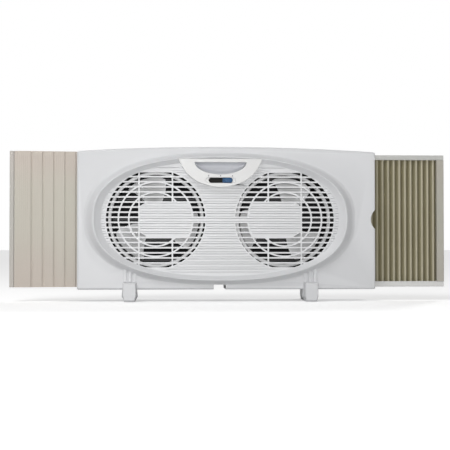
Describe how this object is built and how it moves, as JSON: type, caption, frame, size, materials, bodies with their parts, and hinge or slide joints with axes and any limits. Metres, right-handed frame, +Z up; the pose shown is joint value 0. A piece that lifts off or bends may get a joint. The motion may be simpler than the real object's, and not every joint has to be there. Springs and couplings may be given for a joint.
{
  "type": "window fan",
  "caption": "Twin window fan with an oval barred front, speed slider, hand grip and clip-on feet; a slatted panel and a pleated curtain panel draw out of its ends to fill the window.",
  "frame": {"origin": "middle of the base: under the centre of the bounding box, on the surface the feet stand on", "axes": "+X to the right seen from the room side, +Y towards the back (outdoors), +Z up; the front faces -Y"},
  "size_m": [0.8472, 0.126, 0.2986],
  "materials": {
    "shell_white": "satin, faintly grained",
    "panel_white": "satin",
    "grille_white": "satin",
    "blade_white": "semi-gloss",
    "black_plastic": "matt",
    "louvre_black": "matt",
    "slat_beige": "matt",
    "curtain_cream": "matt",
    "rail_grey": "satin",
    "post_grey": "satin",
    "knob_blue": "gloss",
    "steel": "zinc plated",
    "core_steel": "laminated, dark",
    "copper": "enamelled winding",
    "zinc": "die cast",
    "wire_grey": "matt"
  },
  "bodies": {
    "casing": {"front_shell": "shell_white", "front_grille": "grille_white", "control_panel": "panel_white", "handle_cup": "panel_white", "switch_body": "black_plastic", "rear_shell": "shell_white", "rear_grille_left": "louvre_black", "rear_grille_right": "louvre_black", "cord_gland": "black_plastic", "duct_tray": "black_plastic", "air_ring_left": "blade_white", "motor_core_left": "core_steel", "motor_coil_left": "copper", "motor_bracket_front_left": "zinc", "motor_bracket_rear_left": "zinc", "motor_screw_left_1": "steel", "motor_screw_left_2": "steel", "motor_lead_left": "wire_grey", "air_ring_right": "blade_white", "motor_core_right": "core_steel", "motor_coil_right": "copper", "motor_bracket_front_right": "zinc", "motor_bracket_rear_right": "zinc", "motor_screw_right_1": "steel", "motor_screw_right_2": "steel", "motor_lead_right": "wire_grey", "slat_guide": "slat_beige", "rail_track_top": "black_plastic", "rail_track_bottom": "black_plastic", "pleated_curtain": "curtain_cream", "curtain_anchor": "black_plastic", "foot_left": "shell_white", "foot_right": "shell_white", "shell_screw_1": "steel", "shell_screw_2": "steel", "shell_screw_3": "steel", "shell_screw_4": "steel"},
    "impeller_left": {"impeller_left": "blade_white", "motor_shaft_left": "steel", "motor_rotor_left": "core_steel", "hub_clip_left": "black_plastic"},
    "impeller_right": {"impeller_right": "blade_white", "motor_shaft_right": "steel", "motor_rotor_right": "core_steel", "hub_clip_right": "black_plastic"},
    "speed_slider": {"switch_slider": "knob_blue"},
    "left_panel_end": {"left_end_post": "slat_beige", "slat_1": "slat_beige"},
    "left_slat_2": {"slat_2": "slat_beige"},
    "left_slat_3": {"slat_3": "slat_beige"},
    "left_slat_4": {"slat_4": "slat_beige"},
    "left_slat_5": {"slat_5": "slat_beige"},
    "right_panel_frame": {"right_end_post": "post_grey", "right_rail_top": "rail_grey", "right_rail_bottom": "rail_grey"}
  },
  "joints": [
    {"name": "impeller_left_spin", "type": "hinge", "parent": "casing", "child": "impeller_left", "pos_m": [-0.14345, 0.014, 0.15835], "axis": [0, 1, 0], "continuous": true},
    {"name": "impeller_right_spin", "type": "hinge", "parent": "casing", "child": "impeller_right", "pos_m": [0.10555, 0.014, 0.15835], "axis": [0, 1, 0], "continuous": true},
    {"name": "speed_slide", "type": "slide", "parent": "casing", "child": "speed_slider", "axis": [1, 0, 0], "range_m": [-0.0288, 0]},
    {"name": "left_panel_slide", "type": "slide", "parent": "casing", "child": "left_panel_end", "axis": [1, 0, 0], "range_m": [0, 0.1124]},
    {"name": "left_slat_2_slide", "type": "slide", "parent": "casing", "child": "left_slat_2", "axis": [1, 0, 0], "range_m": [0, 0.085]},
    {"name": "left_slat_3_slide", "type": "slide", "parent": "casing", "child": "left_slat_3", "axis": [1, 0, 0], "range_m": [0, 0.0638]},
    {"name": "left_slat_4_slide", "type": "slide", "parent": "casing", "child": "left_slat_4", "axis": [1, 0, 0], "range_m": [0, 0.0426]},
    {"name": "left_slat_5_slide", "type": "slide", "parent": "casing", "child": "left_slat_5", "axis": [1, 0, 0], "range_m": [0, 0.0214]},
    {"name": "right_panel_slide", "type": "slide", "parent": "casing", "child": "right_panel_frame", "axis": [1, 0, 0], "range_m": [-0.118, 0], "deforming": ["pleated_curtain"]}
  ],
  "couplings": [
    {"joint": "left_slat_2_slide", "follows": "left_panel_slide", "ratio": 0.75445},
    {"joint": "left_slat_3_slide", "follows": "left_panel_slide", "ratio": 0.56584},
    {"joint": "left_slat_4_slide", "follows": "left_panel_slide", "ratio": 0.37722},
    {"joint": "left_slat_5_slide", "follows": "left_panel_slide", "ratio": 0.18861}
  ]
}
